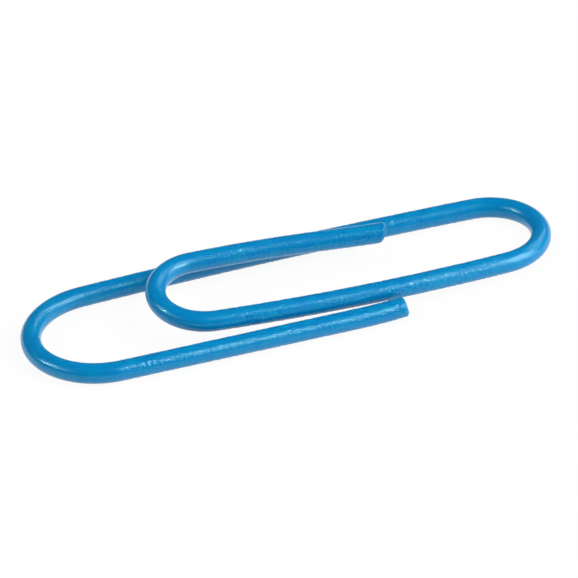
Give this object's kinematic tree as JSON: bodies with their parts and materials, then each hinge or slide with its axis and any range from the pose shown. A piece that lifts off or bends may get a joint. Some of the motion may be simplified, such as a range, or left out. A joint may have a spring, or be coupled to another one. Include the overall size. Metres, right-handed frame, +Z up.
{
  "type": "paper clip",
  "caption": "Plastic-coated wire paper clip with nested loops, its tongue sprung up out of the outer loop so that sheets slide in between.",
  "frame": {"origin": "under the middle of the clip's footprint, on the surface that it lies on", "axes": "+X along the legs towards the return bend, +Y across the legs towards the back leg, +Z up, the way the tongue is sprung"},
  "size_m": [0.033, 0.0104, 0.0028],
  "materials": {
    "steel_wire": "bare sheared steel",
    "blue_coating": "blue plastic coating, glossy on the bends and faintly mottled along the legs"
  },
  "bodies": {
    "back_leg": {"back_leg_core": "steel_wire", "back_leg_coating": "blue_coating"},
    "outer_leg": {"outer_leg_core": "steel_wire", "outer_leg_coating": "blue_coating"},
    "tongue": {"tongue_core": "steel_wire", "tongue_coating": "blue_coating"},
    "inner_leg": {"inner_leg_core": "steel_wire", "inner_leg_coating": "blue_coating"}
  },
  "joints": [
    {"name": "outer_bend_twist", "type": "hinge", "parent": "back_leg", "child": "outer_leg", "pos_m": [-0.01588, -0.00023, 0.00062], "axis": [0, -1, 0], "range_deg": [0, 6], "stiffness_Nm_per_rad": 0.42},
    {"name": "return_bend_twist", "type": "hinge", "parent": "back_leg", "child": "tongue", "pos_m": [0.01588, 0.00106, 0.00062], "axis": [0, 1, 0], "range_deg": [-2.7, 7.3], "stiffness_Nm_per_rad": 0.5},
    {"name": "inner_bend_twist", "type": "hinge", "parent": "tongue", "child": "inner_leg", "pos_m": [-0.00808, -0.00008, 0.00203], "axis": [-0.0044, -0.9951, -0.0991], "range_deg": [-1.8, 6], "stiffness_Nm_per_rad": 0.68}
  ]
}
